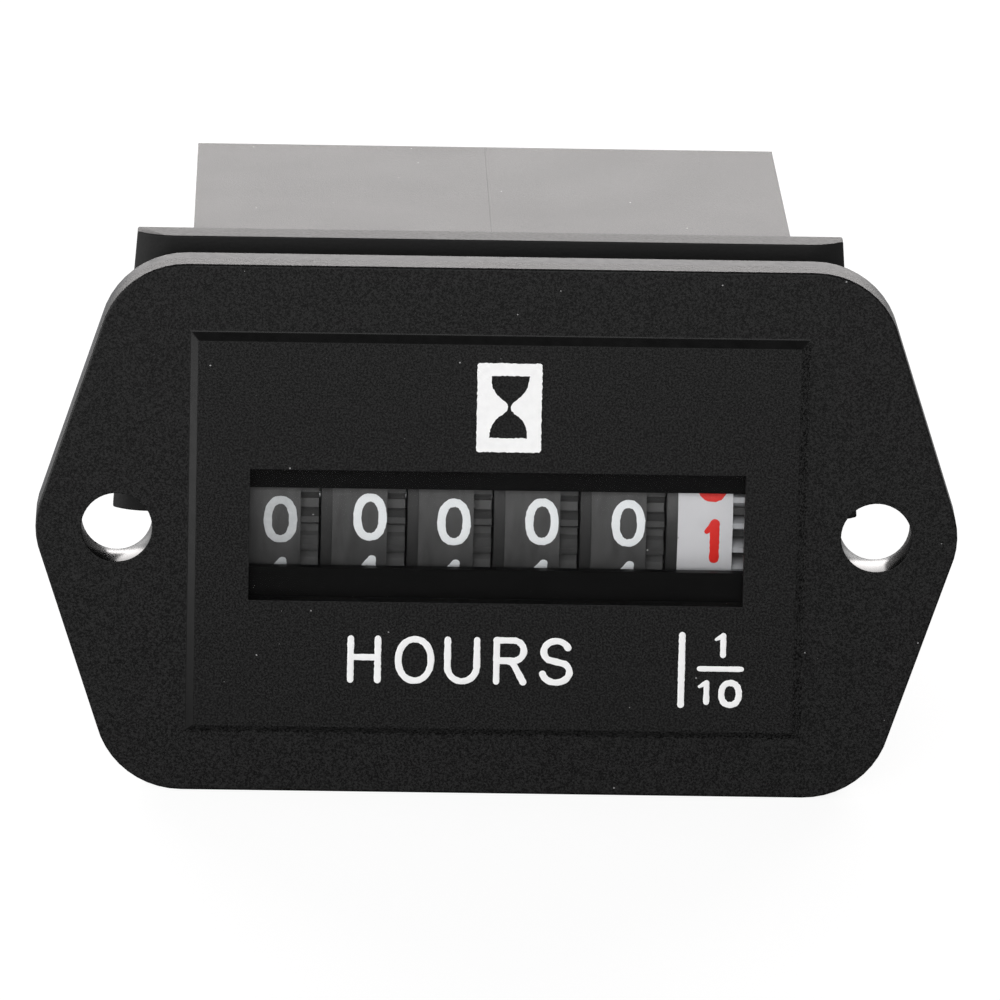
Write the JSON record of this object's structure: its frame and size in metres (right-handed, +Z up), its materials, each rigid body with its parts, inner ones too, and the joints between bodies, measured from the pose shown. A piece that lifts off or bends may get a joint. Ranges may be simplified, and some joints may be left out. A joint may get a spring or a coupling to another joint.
{
  "type": "panel hour meter",
  "caption": "Panel hour meter: rectangular flange with a screw hole at each pointed end, windowed wheel counter, boxed body, blade terminals and a slide-on retaining clip.",
  "frame": {"origin": "centre of the flange's rear face, midway between the two screw holes, on the panel's front", "axes": "+X to the right of the face, +Y into the panel, +Z up"},
  "size_m": [0.0546, 0.0563, 0.0324],
  "materials": {
    "case_black": "fine spark texture",
    "clip_black": "smooth satin",
    "lens_clear": "clear polished",
    "frame_black": "glossy",
    "wheel_grey": "satin",
    "wheel_white": "satin",
    "steel": "ground",
    "natural_plastic": "natural acetal",
    "magnet": "sintered",
    "core_steel": "annealed sheet",
    "copper": "enamelled wire",
    "board_green": "solder mask",
    "part_black": "moulded epoxy",
    "capacitor_blue": "shrink sleeve",
    "resistor_tan": "lacquer",
    "tinned_brass": "tinned"
  },
  "bodies": {
    "case": {"case_body": "case_black", "window_lens": "lens_clear", "rear_cover": "case_black", "counter_frame": "frame_black", "wheel_shaft": "steel", "wheel_spacers": "natural_plastic", "pinion_shaft": "steel", "gear_plate": "natural_plastic", "stator": "core_steel", "coil_core": "core_steel", "coil_bobbin": "natural_plastic", "coil_winding": "copper", "coil_pins": "tinned_brass", "motor_bridge": "natural_plastic", "motor_screws": "steel", "circuit_board": "board_green", "quartz_crystal": "steel", "timing_chip": "part_black", "capacitor": "capacitor_blue", "diode": "part_black", "resistor": "resistor_tan", "positive_terminal": "tinned_brass", "negative_terminal": "tinned_brass"},
    "tenths": {"tenths_wheel": "wheel_white"},
    "units": {"units_wheel": "wheel_grey"},
    "tens": {"tens_wheel": "wheel_grey"},
    "hundreds": {"hundreds_wheel": "wheel_grey"},
    "thousands": {"thousands_wheel": "wheel_grey"},
    "ten_thousands": {"ten_thousands_wheel": "wheel_grey"},
    "drive": {"drive_gear": "natural_plastic"},
    "idler": {"idler_gear": "natural_plastic"},
    "motor_rotor": {"rotor": "natural_plastic", "rotor_magnet": "magnet"},
    "clip": {"retaining_clip": "clip_black"},
    "carry_1": {"transfer_pinion_1": "natural_plastic"},
    "carry_2": {"transfer_pinion_2": "natural_plastic"},
    "carry_3": {"transfer_pinion_3": "natural_plastic"},
    "carry_4": {"transfer_pinion_4": "natural_plastic"},
    "carry_5": {"transfer_pinion_5": "natural_plastic"}
  },
  "joints": [
    {"name": "tenths_turn", "type": "hinge", "parent": "case", "child": "tenths", "pos_m": [0, 0.00541, 0], "axis": [-1, 0, 0], "continuous": true},
    {"name": "units_turn", "type": "hinge", "parent": "case", "child": "units", "pos_m": [0, 0.00541, 0], "axis": [-1, 0, 0], "continuous": true},
    {"name": "tens_turn", "type": "hinge", "parent": "case", "child": "tens", "pos_m": [0, 0.00541, 0], "axis": [-1, 0, 0], "continuous": true},
    {"name": "hundreds_turn", "type": "hinge", "parent": "case", "child": "hundreds", "pos_m": [0, 0.00541, 0], "axis": [-1, 0, 0], "continuous": true},
    {"name": "thousands_turn", "type": "hinge", "parent": "case", "child": "thousands", "pos_m": [0, 0.00541, 0], "axis": [-1, 0, 0], "continuous": true},
    {"name": "ten_thousands_turn", "type": "hinge", "parent": "case", "child": "ten_thousands", "pos_m": [0, 0.00541, 0], "axis": [-1, 0, 0], "continuous": true},
    {"name": "carry_1_turn", "type": "hinge", "parent": "case", "child": "carry_1", "pos_m": [0, 0.00919, -0.00655], "axis": [-1, 0, 0], "continuous": true},
    {"name": "carry_2_turn", "type": "hinge", "parent": "case", "child": "carry_2", "pos_m": [0, 0.00919, -0.00655], "axis": [-1, 0, 0], "continuous": true},
    {"name": "carry_3_turn", "type": "hinge", "parent": "case", "child": "carry_3", "pos_m": [0, 0.00919, -0.00655], "axis": [-1, 0, 0], "continuous": true},
    {"name": "carry_4_turn", "type": "hinge", "parent": "case", "child": "carry_4", "pos_m": [0, 0.00919, -0.00655], "axis": [-1, 0, 0], "continuous": true},
    {"name": "carry_5_turn", "type": "hinge", "parent": "case", "child": "carry_5", "pos_m": [0, 0.00919, -0.00655], "axis": [-1, 0, 0], "continuous": true},
    {"name": "drive_turn", "type": "hinge", "parent": "case", "child": "drive", "pos_m": [0, 0.01221, 0.00317], "axis": [-1, 0, 0], "continuous": true},
    {"name": "idler_turn", "type": "hinge", "parent": "case", "child": "idler", "pos_m": [0, 0.01938, 0.00254], "axis": [-1, 0, 0], "continuous": true},
    {"name": "rotor_turn", "type": "hinge", "parent": "case", "child": "motor_rotor", "pos_m": [0, 0.02417, 0.00296], "axis": [-1, 0, 0], "continuous": true},
    {"name": "clip_slide", "type": "slide", "parent": "case", "child": "clip", "axis": [0, 1, 0], "range_m": [-0.0025, 0.04]}
  ],
  "couplings": [
    {"joint": "units_turn", "follows": "tenths_turn", "ratio": 0.1},
    {"joint": "tens_turn", "follows": "tenths_turn", "ratio": 0.01},
    {"joint": "hundreds_turn", "follows": "tenths_turn", "ratio": 0.001},
    {"joint": "thousands_turn", "follows": "tenths_turn", "ratio": 0.0001},
    {"joint": "ten_thousands_turn", "follows": "tenths_turn", "ratio": 0.00001},
    {"joint": "drive_turn", "follows": "tenths_turn", "ratio": -3},
    {"joint": "idler_turn", "follows": "tenths_turn", "ratio": 15},
    {"joint": "rotor_turn", "follows": "tenths_turn", "ratio": -60},
    {"joint": "carry_1_turn", "follows": "tenths_turn", "ratio": -0.000025},
    {"joint": "carry_2_turn", "follows": "tenths_turn", "ratio": -0.00025},
    {"joint": "carry_3_turn", "follows": "tenths_turn", "ratio": -0.0025},
    {"joint": "carry_4_turn", "follows": "tenths_turn", "ratio": -0.025},
    {"joint": "carry_5_turn", "follows": "tenths_turn", "ratio": -0.25}
  ]
}
